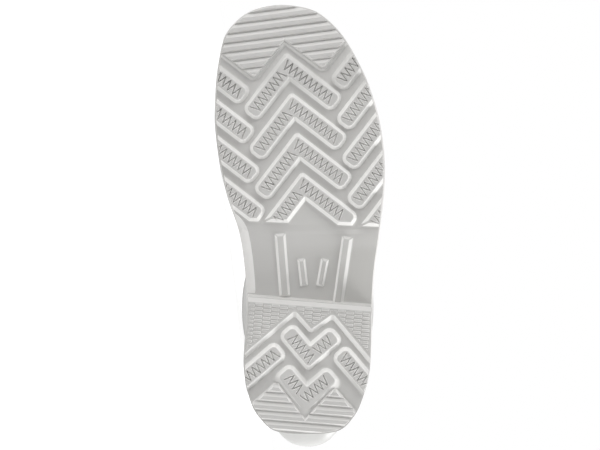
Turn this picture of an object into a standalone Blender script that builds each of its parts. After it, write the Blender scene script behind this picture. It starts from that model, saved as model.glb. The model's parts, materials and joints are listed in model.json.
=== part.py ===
"""Safety wellington boot for the left foot, lying empty on its inner side.

The boot is drawn upright in its own frame, in millimetres: x towards the inner side of
the foot, y from the heel end to the toe, z up from the plane of the tread. One empty
then lays the finished pieces on the floor, on the edge of the sole and the collar.
"""

import math
from collections import namedtuple

import bmesh
import bpy
from mathutils import Matrix, Vector

MM = 0.001
BOOT = "safety_wellington_boot"

# Driving sizes of a size 42 boot
SOLE_LENGTH = 297.0
BALL_WIDTH = 116.0
BOOT_HEIGHT = 370.0
BALL_THICKNESS = 17.0
HEEL_HEIGHT = 32.0
TOE_SPRING = 12.0
WALL = 2.8
SEAM_GAP = 0.3

# Tread and sole edge
LUG_DEPTH = 4.5
LUG_WIDTH = 14.1
LUG_SLOPE = 2.6
LUG_PITCH = 27.6
ROOT = 1.5
PAD_DEPTH = 2.2
BRICK_DEPTH = 0.5
BAR_PITCH = 6.4
BAR_WIDTH = 4.6
BAR_SLOPE = 0.9
ARCH_RISE = 8.5
RIM_PROUD = 0.8
RIM_HEIGHT = 7.0
TREAD_INSET = 0.3
ARCH_BAND = 5.5
SPRING_START = 215.0
BEND_STEP = 8.0

# Upper
UPPER_INSET = 1.6
INSOLE_THICKNESS = 4.0
INSOLE_CLEARANCE = 0.4
COLLAR_PROUD = 1.0
SECTION_FULLNESS = 2.6
LEG_FULLNESS = 2.2
VAMP_BLEND = (55.0, 125.0)
OVERRUN = 12.0
SPUR_SIZE = (23.0, 18.0, 9.0)
SPUR_PLACE = (-1.4, 3.5, 47.0)
LEG_CENTRE = -2.5

# Outline of the sole: y along the length, and both edges, as shares of length and ball width
Station = namedtuple("Station", "place along inner outer")
STATIONS = (
    Station("heel end", 0.000, -0.003, -0.003),
    Station("heel back", 0.007, 0.181, -0.188),
    Station("heel corner", 0.037, 0.276, -0.278),
    Station("heel round", 0.079, 0.334, -0.334),
    Station("heel wide", 0.153, 0.369, -0.381),
    Station("heel breast", 0.286, 0.351, -0.392),
    Station("waist", 0.376, 0.359, -0.404),
    Station("shank front", 0.465, 0.391, -0.433),
    Station("ball back", 0.549, 0.460, -0.456),
    Station("ball outer", 0.626, 0.507, -0.464),
    Station("ball inner", 0.714, 0.535, -0.439),
    Station("toes", 0.801, 0.533, -0.378),
    Station("little toe", 0.872, 0.513, -0.297),
    Station("toe corner", 0.929, 0.476, -0.210),
    Station("toe front", 0.970, 0.388, -0.109),
    Station("toe shoulder", 0.991, 0.289, -0.013),
    Station("toe tip", 1.000, 0.147, 0.147),
)
STEPS_PER_STATION = 2

# Side view of the upper: where its front and back edges are at each height
Edge = namedtuple("Edge", "place height y")
FRONT_EDGE = (
    Edge("toe feather", 29.0, 295.3),
    Edge("toe bumper", 44.0, 295.8),
    Edge("toe cap edge", 60.0, 291.0),
    Edge("toe cap top", 73.0, 279.0),
    Edge("toe box", 82.0, 258.0),
    Edge("vamp", 90.0, 232.0),
    Edge("vamp back", 100.0, 206.0),
    Edge("instep low", 114.0, 182.0),
    Edge("instep", 133.0, 162.0),
    Edge("ankle front", 160.0, 147.5),
    Edge("shin low", 195.0, 141.0),
    Edge("shin", 245.0, 140.0),
    Edge("calf front", 310.0, 143.0),
    Edge("collar front", BOOT_HEIGHT, 146.0),
)
BACK_EDGE = (
    Edge("heel feather", 32.0, 1.6),
    Edge("counter", 52.0, -1.0),
    Edge("counter top", 78.0, 3.0),
    Edge("achilles", 115.0, 10.0),
    Edge("leg low", 160.0, 11.5),
    Edge("calf low", 220.0, 7.0),
    Edge("calf", 300.0, 1.5),
    Edge("collar back", BOOT_HEIGHT, -1.0),
)
LegWidth = namedtuple("LegWidth", "place height half")
LEG_WIDTHS = (
    LegWidth("counter", 60.0, 42.0),
    LegWidth("ankle", 105.0, 43.5),
    LegWidth("leg low", 150.0, 45.0),
    LegWidth("calf low", 220.0, 49.0),
    LegWidth("calf", 300.0, 53.5),
    LegWidth("collar", BOOT_HEIGHT, 56.0),
)

# Sections of the upper, each a slanting ring from the back edge to the front edge
Ring = namedtuple("Ring", "place back front proud")
FEATHER_RINGS = (0.0, 8.0, 18.0)
RINGS = (
    Ring("counter", 60.0, 60.0, 0.0),
    Ring("cap", 73.0, 72.0, 0.0),
    Ring("cap top", 88.0, 80.0, 0.0),
    Ring("toe box", 103.0, 86.0, 0.0),
    Ring("vamp", 118.0, 92.0, 0.0),
    Ring("vamp back", 133.0, 99.0, 0.0),
    Ring("instep low", 147.0, 107.0, 0.0),
    Ring("instep", 161.0, 117.0, 0.0),
    Ring("instep high", 175.0, 130.0, 0.0),
    Ring("ankle front", 190.0, 146.0, 0.0),
    Ring("shin low", 207.0, 168.0, 0.0),
    Ring("shin", 228.0, 200.0, 0.0),
    Ring("calf low", 256.0, 240.0, 0.0),
    Ring("calf", 292.0, 285.0, 0.0),
    Ring("calf high", 326.0, 325.0, 0.0),
    Ring("under collar", 355.0, 355.0, 0.0),
    Ring("collar foot", 357.0, 357.0, COLLAR_PROUD),
    Ring("collar head", 368.0, 368.0, COLLAR_PROUD),
    Ring("collar top", BOOT_HEIGHT, BOOT_HEIGHT, 0.2),
)

# Tread patterns: u runs across to the inner side, v along the pattern towards the toe
Pattern = namedtuple("Pattern", "x y turn")
FOREFOOT = Pattern(2.1, 173.9, math.radians(7.5))
HEEL = Pattern(-1.7, 55.2, math.radians(-4.6))
HALF_RIGHT = math.sqrt(0.5)
CHEVRON_ARM = 43.5
HEEL_ARM = 25.5
HEEL_TAIL = 7.0
SIDE_LUG_START = 31.5
SIDE_LUG_LEAD = 9.5
SIDE_LUG_LENGTH = 60.0
END_ROUND = 5.6
APEX_ROUND = 2.4
NOTCH_ROUND = 1.0
ROUND_STEPS = 4
TREAD_BACK = (Vector((50.0, 147.0)), Vector((-55.0, 142.5)))

Rib = namedtuple("Rib", "place x_front y_front x_back y_back width")
SHANK_RIBS = (
    Rib("inner long", 16.6, 139.0, 13.2, 95.0, 8.0),
    Rib("inner short", 2.0, 121.8, -0.2, 102.2, 5.6),
    Rib("outer short", -14.6, 121.8, -11.0, 102.2, 5.6),
    Rib("outer long", -30.2, 137.0, -23.6, 89.5, 8.0),
)
RIB_HEIGHT = 2.4


def clear_scene():
    for obj in list(bpy.data.objects):
        bpy.data.objects.remove(obj)


def ease(value, low, high):
    """0 below low, 1 above high, and a smooth step between."""
    t = min(1.0, max(0.0, (value - low) / (high - low)))
    return t * t * (3.0 - 2.0 * t)


def between(rows, at, key, want):
    """Smooth reading of a table: the value of column want where column key equals at."""
    keys = [getattr(row, key) for row in rows]
    values = [getattr(row, want) for row in rows]
    at = min(max(at, keys[0]), keys[-1])
    i = max(k for k in range(len(keys) - 1) if keys[k] <= at)
    slopes = [(values[k + 1] - values[k]) / (keys[k + 1] - keys[k]) for k in range(len(keys) - 1)]

    def tangent(k):
        """Slope at a row, flat at a turning point so that the curve never overshoots."""
        if k in (0, len(keys) - 1):
            return slopes[min(k, len(slopes) - 1)]
        before, after = slopes[k - 1], slopes[k]
        return 0.0 if before * after <= 0 else 2.0 * before * after / (before + after)

    span = keys[i + 1] - keys[i]
    t = (at - keys[i]) / span
    rise = t * t * (3.0 - 2.0 * t)
    lead = t * (1.0 - t) ** 2 * tangent(i) - t * t * (1.0 - t) * tangent(i + 1)
    return values[i] + (values[i + 1] - values[i]) * rise + span * lead


def toe_spring(y):
    over = max(0.0, y - SPRING_START) / (SOLE_LENGTH - SPRING_START)
    return TOE_SPRING * over * over


def sole_top(y):
    """Height of the outsole's upper face, the plane that the foot stands on."""
    return BALL_THICKNESS + (HEEL_HEIGHT - BALL_THICKNESS) * ease(-y, -175.0, -70.0) + toe_spring(y)


def sole_bottom(y):
    """Height of the floor between the lugs: level under the ball, rising under the arch."""
    return LUG_DEPTH + ARCH_RISE * ease(-y, -150.0, -95.0) + toe_spring(y)


def sole_outline(inset, steps=STEPS_PER_STATION):
    """Closed outline as pairs: heel end, then inner and outer edge at each step, then toe tip."""
    corners = [Vector((s.inner * BALL_WIDTH, s.along * SOLE_LENGTH)) for s in STATIONS]
    corners += [Vector((s.outer * BALL_WIDTH, s.along * SOLE_LENGTH)) for s in STATIONS[-2:0:-1]]
    count = len(corners)
    loop = []
    for i in range(count):
        p = [corners[(i + k) % count] for k in (-1, 0, 1, 2)]
        for step in range(steps):
            t = step / steps
            loop.append(
                0.5 * (2.0 * p[1] + (p[2] - p[0]) * t + (2.0 * p[0] - 5.0 * p[1] + 4.0 * p[2] - p[3]) * t * t
                       + (3.0 * p[1] - p[0] - 3.0 * p[2] + p[3]) * t ** 3)
            )
    moved = []
    for i, point in enumerate(loop):
        along = (loop[(i + 1) % len(loop)] - loop[i - 1]).normalized()
        depth = inset(point.y, point.x > 0) if callable(inset) else inset
        moved.append(point + Vector((-along.y, along.x)) * depth)
    return moved


def paired(loop):
    """Index pairs (inner, outer) across a loop from the heel end to the toe tip."""
    half = len(loop) // 2
    return [(i, (len(loop) - i) % len(loop)) for i in range(half + 1)]


def loft(bm, rings):
    """Joins rings of equal count by walls, and closes the first and last with strips across the foot."""
    verts = [[bm.verts.new(Vector(p) * MM) for p in ring] for ring in rings]
    count = len(verts[0])
    for low, high in zip(verts, verts[1:]):
        for i in range(count):
            k = (i + 1) % count
            bm.faces.new((low[i], low[k], high[k], high[i]))
    for ring in (verts[0], verts[-1]):
        pairs = paired(ring)
        for (a, b), (c, d) in zip(pairs, pairs[1:]):
            corners = [ring[a], ring[c]] + ([ring[d]] if d != c else []) + ([ring[b]] if b != a else [])
            bm.faces.new(corners)
    bmesh.ops.recalc_face_normals(bm, faces=bm.faces)
    return verts


def mesh_object(name, bm, collection, material=None):
    mesh = bpy.data.meshes.new(name)
    bm.to_mesh(mesh)
    bm.free()
    obj = bpy.data.objects.new(name, mesh)
    collection.objects.link(obj)
    if material:
        mesh.materials.append(material)
        mesh.shade_smooth()
        mesh.set_sharp_from_angle(angle=math.radians(35.0))
    else:
        obj.hide_render = True
        obj.display_type = "WIRE"
    return obj


def boolean(obj, operation, other):
    modifier = obj.modifiers.new(f"{operation.lower()} {other.name}", "BOOLEAN")
    modifier.operation = operation
    modifier.solver = "EXACT"
    modifier.object = other


def moulded(name, colour, roughness):
    material = bpy.data.materials.new(name)
    material.use_nodes = True
    shader = material.node_tree.nodes["Principled BSDF"]
    shader.inputs["Base Color"].default_value = (*colour, 1.0)
    shader.inputs["Roughness"].default_value = roughness
    shader.inputs["Metallic"].default_value = 0.0
    return material


# Outsole


def placed(pattern, u, v):
    """Point of a tread pattern in the boot's frame."""
    c, s = math.cos(pattern.turn), math.sin(pattern.turn)
    return Vector((pattern.x + u * c + v * s, pattern.y - u * s + v * c))


def shifted(corners, amount):
    """Polygon with every side moved outwards by amount, corners kept sharp."""
    moved = []
    for i, corner in enumerate(corners):
        before = (corner - corners[i - 1]).normalized()
        after = (corners[(i + 1) % len(corners)] - corner).normalized()
        out_before = Vector((before.y, -before.x))
        out_after = Vector((after.y, -after.x))
        moved.append(corner + (out_before + out_after) * (amount / (1.0 + out_before.dot(out_after))))
    return moved


def rounded(corners, radii):
    """Polygon with each corner replaced by an arc, or kept where its radius is 0."""
    points = []
    for i, (corner, radius) in enumerate(zip(corners, radii)):
        if radius <= 0:
            points.append(corner)
            continue
        before = (corners[i - 1] - corner).normalized()
        after = (corners[(i + 1) % len(corners)] - corner).normalized()
        half = math.acos(max(-1.0, min(1.0, before.dot(after)))) / 2.0
        reach = radius / math.tan(half)
        start, end = corner + before * reach, corner + after * reach
        centre = corner + (before + after).normalized() * (radius / math.sin(half))
        for step in range(ROUND_STEPS + 1):
            t = step / ROUND_STEPS
            chord = start.lerp(end, t) - centre
            points.append(centre + chord.normalized() * radius)
    return points


def trimmed(corners, radii, line):
    """Part of a polygon on the toe side of a line across the sole, with the radii of its corners."""
    start, end = line
    forward = Vector((end.y - start.y, start.x - end.x)).normalized()
    depths = [(corner - start).dot(forward) for corner in corners]
    kept, kept_radii = [], []
    for i, corner in enumerate(corners):
        if depths[i - 1] * depths[i] < 0:
            share = depths[i - 1] / (depths[i - 1] - depths[i])
            kept.append(corners[i - 1].lerp(corner, share))
            kept_radii.append(NOTCH_ROUND)
        if depths[i] >= 0:
            kept.append(corner)
            kept_radii.append(radii[i])
    return kept, kept_radii


def lug(bm, corners, radii, slope, root, top, skirt=None):
    """Tapered block on an outline: full size at the groove floor, smaller by slope at its top.

    root and top are the heights of its buried foot and of its tread face. A skirt is an
    outline of its own for the foot, corner by corner.
    """
    skirt = skirt or corners
    area = sum(a.x * b.y - b.x * a.y for a, b in zip(corners, corners[1:] + corners[:1]))
    if area < 0:
        corners, radii, skirt = corners[::-1], radii[::-1], skirt[::-1]
    foot_radii = [r + slope * ROOT / LUG_DEPTH if r > APEX_ROUND else r for r in radii]
    top_radii = [max(r - slope, NOTCH_ROUND) if r > 0 else 0.0 for r in radii]
    foot = rounded(shifted(skirt, slope * ROOT / LUG_DEPTH), foot_radii)
    tread = rounded(shifted(corners, -slope), top_radii)
    low = [bm.verts.new(Vector((p.x, p.y, top)) * MM) for p in tread]
    high = [bm.verts.new(Vector((p.x, p.y, root)) * MM) for p in foot]
    count = len(low)
    for i in range(count):
        k = (i + 1) % count
        bm.faces.new((low[i], low[k], high[k], high[i]))
    bm.faces.new(low)
    bm.faces.new(high)


def lay_along(bm, height, start, stop):
    """Bends level blocks to follow a height along the sole, cutting them finely enough first."""
    cuts = int((stop - start) / BEND_STEP) + 1
    for k in range(cuts):
        y = (start + k * BEND_STEP) * MM
        everything = [*bm.verts, *bm.edges, *bm.faces]
        bmesh.ops.bisect_plane(bm, geom=everything, dist=1e-6, plane_co=(0.0, y, 0.0), plane_no=(0.0, 1.0, 0.0))
    for vert in bm.verts:
        vert.co.z += height(vert.co.y / MM) * MM
    bmesh.ops.recalc_face_normals(bm, faces=bm.faces)
    bmesh.ops.triangulate(bm, faces=bm.faces)


def chevron(bm, pattern, apex, arm, point, tail=0.0):
    """Two arms at right angles; point is 1 where they meet towards the toe, -1 towards the heel.

    A tail draws the foot of the block out to a longer point, with a flatter slope there.
    """
    half = LUG_WIDTH / 2.0
    deep = half / HALF_RIGHT
    end = arm * HALF_RIGHT
    across = half * HALF_RIGHT
    shape = [
        (0.0, deep, APEX_ROUND),
        (-end - across, across - end, END_ROUND),
        (-end + across, -across - end, END_ROUND),
        (0.0, -deep, NOTCH_ROUND),
        (end - across, -across - end, END_ROUND),
        (end + across, across - end, END_ROUND),
    ]
    corners = [placed(pattern, u, apex + point * v) for u, v, _ in shape]
    radii = [r for _, _, r in shape]
    if pattern is FOREFOOT:
        corners, radii = trimmed(corners, radii, TREAD_BACK)
    skirt = [placed(pattern, 0.0, apex + point * (deep + tail)), *corners[1:]] if tail else None
    lug(bm, corners, radii, LUG_SLOPE, LUG_DEPTH + ROOT, 0.0, skirt)


def side_lug(bm, pattern, side, start_u, start_v, forward):
    """Slanting lug that runs from its round end out past the edge of the sole."""
    half = LUG_WIDTH / 2.0
    along = Vector((side * HALF_RIGHT, forward * HALF_RIGHT))
    across = Vector((-along.y, along.x)) * half
    start = Vector((side * start_u, start_v))
    end = start + along * SIDE_LUG_LENGTH
    corners = [placed(pattern, *c) for c in (start - across, start + across, end + across, end - across)]
    radii = [END_ROUND, END_ROUND, 0.0, 0.0]
    if pattern is FOREFOOT:
        corners, radii = trimmed(corners, radii, TREAD_BACK)
    lug(bm, corners, radii, LUG_SLOPE, LUG_DEPTH + ROOT, 0.0)


def pad(bm, pattern, shape, top):
    corners = [placed(pattern, u, v) for u, v, _ in shape]
    lug(bm, corners, [r for _, _, r in shape], LUG_SLOPE * 0.6, LUG_DEPTH + ROOT, top)


def crossings(shape, v):
    """Where a level line at v enters and leaves a pad's outline, as (start, end) pairs of u."""
    hits = []
    for (u0, v0, _), (u1, v1, _) in zip(shape, shape[1:] + shape[:1]):
        if (v0 <= v) != (v1 <= v):
            hits.append(u0 + (u1 - u0) * (v - v0) / (v1 - v0))
    hits.sort()
    return list(zip(hits[::2], hits[1::2]))


def bars(bm, pattern, shape, first, last, margin):
    """Cross bars on a pad, a pitch apart, ending a margin short of the pad's slanting edges."""
    half = BAR_WIDTH / 2.0
    count = int((last - first) / BAR_PITCH) + 1
    for k in range(count):
        v = first + k * BAR_PITCH
        for low, high in zip(crossings(shape, v - half), crossings(shape, v + half)):
            start, end = max(low[0], high[0]) + margin, min(low[1], high[1]) - margin
            if end - start < 2.0 * BAR_WIDTH:
                continue
            box = [(start, v - half), (end, v - half), (end, v + half), (start, v + half)]
            corners = [placed(pattern, *c) for c in box]
            lug(bm, corners, [0.0] * 4, BAR_SLOPE, PAD_DEPTH + ROOT, 0.0)


SIDE = 90.0
TOE_PAD = [
    (-SIDE, 160.0, 0.0), (-SIDE, 140.0, 0.0), (-24.0, 74.0, END_ROUND), (0.0, 97.5, 0.0),
    (24.0, 74.0, END_ROUND), (SIDE, 140.0, 0.0), (SIDE, 160.0, 0.0),
]
HEEL_PAD_FRONT = [
    (-SIDE, 33.8, 0.0), (-SIDE, -51.0, 0.0), (-13.8, 27.0, APEX_ROUND), (0.0, 15.2, 4.0),
    (12.2, 27.0, APEX_ROUND), (SIDE, -51.0, 0.0), (SIDE, 33.8, 0.0),
]
HEEL_PAD_BACK = [
    (-SIDE, -120.0, 0.0), (-SIDE, -90.0, 0.0), (-24.5, -24.5, END_ROUND), (1.0, -47.5, 0.0),
    (25.0, -22.5, END_ROUND), (SIDE, -90.0, 0.0), (SIDE, -120.0, 0.0),
]



def tread_lugs():
    """All blocks that stand on the floor of the tread and don't touch one another."""
    bm = bmesh.new()
    for k in range(4):
        chevron(bm, FOREFOOT, LUG_PITCH * k, CHEVRON_ARM, 1)
    for side, rows in ((1, (2, 1, 0, -1)), (-1, (2, 1, 0, -1, -2))):
        for k in rows:
            side_lug(bm, FOREFOOT, side, SIDE_LUG_START, SIDE_LUG_LEAD + LUG_PITCH * k, 1)
    pad(bm, FOREFOOT, TOE_PAD, PAD_DEPTH)
    chevron(bm, HEEL, 0.0, HEEL_ARM, -1)
    chevron(bm, HEEL, -LUG_PITCH, HEEL_ARM, -1, HEEL_TAIL)
    side_lug(bm, HEEL, 1, 17.5, 6.5, -1)
    side_lug(bm, HEEL, -1, 19.5, 6.0, -1)
    pad(bm, HEEL, HEEL_PAD_FRONT, BRICK_DEPTH)
    pad(bm, HEEL, HEEL_PAD_BACK, PAD_DEPTH)
    lay_along(bm, toe_spring, SPRING_START, SOLE_LENGTH)
    return bm


def tread_bars():
    bm = bmesh.new()
    bars(bm, FOREFOOT, TOE_PAD, 81.0, 124.0, 2.0)
    bars(bm, HEEL, HEEL_PAD_BACK, -58.0, -27.0, 2.0)
    lay_along(bm, toe_spring, SPRING_START, SOLE_LENGTH)
    return bm


def heel_block():
    """Heel under the arch floor, from its sloping breast to past the heel end."""
    bm = bmesh.new()
    front = 33.8
    box = [(-SIDE, front), (SIDE, front), (SIDE, -SIDE), (-SIDE, -SIDE)]
    corners = [placed(HEEL, *c) for c in box]
    lug(bm, corners, [0.0] * 4, 1.6, LUG_DEPTH + ARCH_RISE + ROOT, LUG_DEPTH)
    bmesh.ops.recalc_face_normals(bm, faces=bm.faces)
    return bm


def shank_ribs():
    bm = bmesh.new()
    for rib in SHANK_RIBS:
        front, back = Vector((rib.x_front, rib.y_front)), Vector((rib.x_back, rib.y_back))
        along = (front - back).normalized()
        across = Vector((-along.y, along.x)) * rib.width / 2.0
        corners = [back - across, back + across, front + across, front - across]
        lug(bm, corners, [0.0] * 4, 1.5, ROOT, -RIB_HEIGHT)
    lay_along(bm, sole_bottom, min(rib.y_back for rib in SHANK_RIBS), max(rib.y_front for rib in SHANK_RIBS))
    return bm


def arch_share(y):
    """1 along the arch on the inner side, easing to 0 at the ball and the heel."""
    return ease(y, 88.0, 98.0) * ease(-y, -160.0, -138.0)


def sole_ring(inset, height):
    return [(p.x, p.y, height(p.y, p.x > 0)) for p in sole_outline(inset)]


def sole_body():
    """Plate of the outsole with its side wall: tread edge, wall, and the rim under the upper."""

    def foot_inset(y, inner):
        return ARCH_BAND * arch_share(y) if inner else 0.0

    def shoulder(y, inner):
        return sole_bottom(y) + 3.0 + (4.0 * arch_share(y) if inner else 0.0)

    bm = bmesh.new()
    loft(bm, [
        sole_ring(foot_inset, lambda y, inner: sole_bottom(y)),
        sole_ring(0.0, shoulder),
        sole_ring(0.0, lambda y, inner: sole_top(y) - RIM_HEIGHT),
        sole_ring(-RIM_PROUD, lambda y, inner: sole_top(y) - RIM_HEIGHT + RIM_PROUD),
        sole_ring(-RIM_PROUD, lambda y, inner: sole_top(y) - RIM_PROUD),
        sole_ring(0.0, lambda y, inner: sole_top(y)),
    ])
    bmesh.ops.triangulate(bm, faces=bm.faces)
    return bm


def tread_limit(inset):
    """Prism of the sole's outline that trims the blocks of the tread at the edge."""
    bm = bmesh.new()
    loft(bm, [
        sole_ring(inset, lambda y, inner: -3.0 * LUG_DEPTH),
        sole_ring(inset, lambda y, inner: sole_bottom(y) + 2.0 * ROOT),
    ])
    return bm


def make_outsole(parts, cutters, material):
    outsole = mesh_object("outsole", sole_body(), parts, material)
    layers = (("heel_block", heel_block()), ("tread_lugs", tread_lugs()), ("tread_bars", tread_bars()))
    for level, (name, blocks) in enumerate(layers, start=1):
        cutter = mesh_object(name, blocks, cutters)
        limit = mesh_object(name + "_limit", tread_limit(TREAD_INSET * level), cutters)
        boolean(cutter, "INTERSECT", limit)
        boolean(outsole, "UNION", cutter)
    boolean(outsole, "UNION", mesh_object("shank_ribs", shank_ribs(), cutters))
    return outsole


# Upper and insole


def edge_x(loop, y, inner):
    """Where the outline's inner or outer edge is at a given y."""
    half = len(loop) // 2
    side = loop[: half + 1] if inner else [loop[0]] + loop[: half - 1 : -1]
    y = min(max(y, side[0].y), side[-1].y)
    for a, b in zip(side, side[1:]):
        if a.y <= y <= b.y:
            return a.x + (b.x - a.x) * (y - a.y) / max(b.y - a.y, 1e-9)
    return side[-1].x


def ridge_height(y):
    """Height of the upper's top edge over the foot; far above the boot behind the shin."""
    front = [e for e in FRONT_EDGE if e.height <= 195.0][1:]
    rows = [Edge(e.place, e.height, -e.y) for e in front]
    return between(rows, -y, "y", "height") if y > 141.0 else 10.0 * BOOT_HEIGHT


def upper_point(loop, y, z, share, inner):
    """x of the upper's wall on one side, blended from the foot's form to the leg's."""
    back = between(BACK_EDGE, z, "height", "y")
    foot_y = y if y > 100.0 else 100.0 - (100.0 - y) * (100.0 - UPPER_INSET) / (100.0 - back)
    edge = edge_x(loop, foot_y, inner)
    ridge = (edge_x(loop, foot_y, True) + edge_x(loop, foot_y, False)) / 2.0
    top = ridge_height(y)
    bottom = sole_top(y)
    rise = min(1.0, max(0.0, (z - bottom) / max(top - bottom, 1e-6)))
    foot_x = ridge + (edge - ridge) * (1.0 - rise ** SECTION_FULLNESS) ** 0.5
    round_share = (1.0 - abs(2.0 * share - 1.0) ** LEG_FULLNESS) ** (1.0 / LEG_FULLNESS)
    leg_half = between(LEG_WIDTHS, z, "height", "half") * round_share
    leg_x = LEG_CENTRE + (leg_half if inner else -leg_half)
    return foot_x + (leg_x - foot_x) * ease(z, *VAMP_BLEND)


def upper_rings():
    """Outer surface of the upper as rings of points, from the feather line to the collar."""
    shares = [s.y / SOLE_LENGTH for s in sole_outline(0.0)]
    loop = sole_outline(UPPER_INSET, steps=12)
    half = len(shares) // 2
    rings = []
    for lift in FEATHER_RINGS:
        ring = []
        for i, share in enumerate(shares):
            low = sole_top(share * SOLE_LENGTH) + SEAM_GAP + lift
            y_back = between(BACK_EDGE, low, "height", "y")
            y_front = between(FRONT_EDGE, low, "height", "y")
            y = y_back + (y_front - y_back) * share
            ring.append((upper_point(loop, y, low, share, i < half), y, low))
        rings.append(ring)
    for row in RINGS:
        back = between(BACK_EDGE, row.back, "height", "y") - row.proud
        front = between(FRONT_EDGE, row.front, "height", "y") + row.proud
        ring = []
        for i, share in enumerate(shares):
            y = back + (front - back) * share
            z = row.back + (row.front - row.back) * share
            x = upper_point(loop, y, z, share, i < half)
            ring.append((x + (x - LEG_CENTRE) * row.proud / LEG_WIDTHS[-1].half, y, z))
        rings.append(ring)
    return rings


def inner_rings(rings):
    """Inner surface of the upper: the outer one moved in by the wall, run past both openings."""
    bm = bmesh.new()
    verts = loft(bm, [*rings[:-3], rings[-1]])
    bm.faces.ensure_lookup_table()
    for face in [f for f in bm.faces if all(v in verts[0] for v in f.verts)]:
        bm.faces.remove(face)
    for face in [f for f in bm.faces if all(v in verts[-1] for v in f.verts)]:
        bm.faces.remove(face)
    bm.normal_update()
    moved = [[tuple((v.co / MM) - v.normal * WALL) for v in ring] for ring in verts]
    bm.free()
    below = [(x, y, z - OVERRUN) for x, y, z in moved[0]]
    above = [(x, y, z + OVERRUN) for x, y, z in moved[-1]]
    return [below, *moved, above]


def spur():
    """Rounded ledge on the back of the heel, for the other foot to push the boot off with."""
    bm = bmesh.new()
    bmesh.ops.create_uvsphere(bm, u_segments=24, v_segments=10, radius=1.0)
    size = Matrix.Diagonal((*SPUR_SIZE, 1.0))
    bmesh.ops.transform(bm, matrix=Matrix.Scale(MM, 4) @ Matrix.Translation(SPUR_PLACE) @ size, verts=bm.verts)
    return bm


def make_upper(parts, cutters, material):
    rings = upper_rings()
    outer = bmesh.new()
    loft(outer, rings)
    upper = mesh_object("upper", outer, parts, material)
    hollow = bmesh.new()
    loft(hollow, inner_rings(rings))
    boolean(upper, "UNION", mesh_object("heel_spur", spur(), cutters))
    boolean(upper, "DIFFERENCE", mesh_object("upper_hollow", hollow, cutters))
    return upper


def make_insole(parts, material):
    """Footbed on the outsole, inside the foot of the upper."""
    inset = UPPER_INSET + WALL + INSOLE_CLEARANCE
    bm = bmesh.new()
    layers = ((inset + 0.6, 0.0), (inset, 0.8), (inset, INSOLE_THICKNESS - 0.8), (inset + 0.6, INSOLE_THICKNESS))
    loft(bm, [
        [(p.x, p.y, sole_top(p.y) + SEAM_GAP + lift) for p in sole_outline(edge)]
        for edge, lift in layers
    ])
    return mesh_object("insole", bm, parts, material)


# Rest on the floor


def world_points(objects):
    graph = bpy.context.evaluated_depsgraph_get()
    points = []
    for obj in objects:
        mesh = obj.evaluated_get(graph).to_mesh()
        points += [v.co.copy() for v in mesh.vertices]
        obj.evaluated_get(graph).to_mesh_clear()
    return points


def lay_down(objects, tools):
    """Lays the boot on its inner side, on the sole's edge at ball and heel and on the collar.

    The tools are the cutters, which go along with the pieces that they shape.
    """
    points = world_points(objects)
    groups = (
        [p for p in points if p.y > 0.5 * SOLE_LENGTH * MM and p.z < 0.2 * BOOT_HEIGHT * MM],
        [p for p in points if p.y < 0.3 * SOLE_LENGTH * MM and p.z < 0.2 * BOOT_HEIGHT * MM],
        [p for p in points if p.z > 0.8 * BOOT_HEIGHT * MM],
    )
    down = Vector((1.0, 0.0, 0.0))
    for _ in range(8):
        ball, heel, collar = (max(group, key=down.dot) for group in groups)
        down = (ball - heel).cross(collar - heel).normalized()
        if down.x < 0:
            down = -down
    up = -down
    back = (Vector((0.0, 0.0, 1.0)) - up * up.z).normalized()
    right = back.cross(up)
    turn = Matrix((right, back, up))
    laid = [turn @ p for p in points]
    low = Vector([min(p[i] for p in laid) for i in range(3)])
    high = Vector([max(p[i] for p in laid) for i in range(3)])
    rest = bpy.data.objects.new("rest", None)
    bpy.context.scene.collection.objects.link(rest)
    place = Vector((-(low.x + high.x) / 2.0, -(low.y + high.y) / 2.0, -low.z))
    rest.matrix_world = Matrix.Translation(place) @ turn.to_4x4()
    for obj in (*objects, *tools):
        obj.parent = rest
    return rest


def main():
    clear_scene()
    parts = bpy.data.collections.new(BOOT)
    cutters = bpy.data.collections.new(BOOT + "_cutters")
    for collection in (parts, cutters):
        bpy.context.scene.collection.children.link(collection)
    sole_grey = moulded("pale grey moulded rubber", (0.60, 0.60, 0.585), 0.5)
    upper_white = moulded("white moulded boot plastic", (0.76, 0.76, 0.74), 0.38)
    footbed_grey = moulded("grey footbed felt", (0.42, 0.43, 0.44), 0.9)
    pieces = [
        make_outsole(parts, cutters, sole_grey),
        make_upper(parts, cutters, upper_white),
        make_insole(parts, footbed_grey),
    ]
    bpy.context.view_layer.update()
    rest = lay_down(pieces, cutters.objects)
    bpy.context.view_layer.update()
    print("rest matrix", [[round(x, 5) for x in row] for row in rest.matrix_world])


main()
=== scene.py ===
# Looks of a left safety wellington boot that lies empty on its inner side, its sole to the camera.
# The boot is drawn upright in millimetres: x to the inner side, y from heel to toe, z up from the tread.
import json
import math

import bmesh
import bpy
from mathutils import Matrix, Vector


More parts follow.
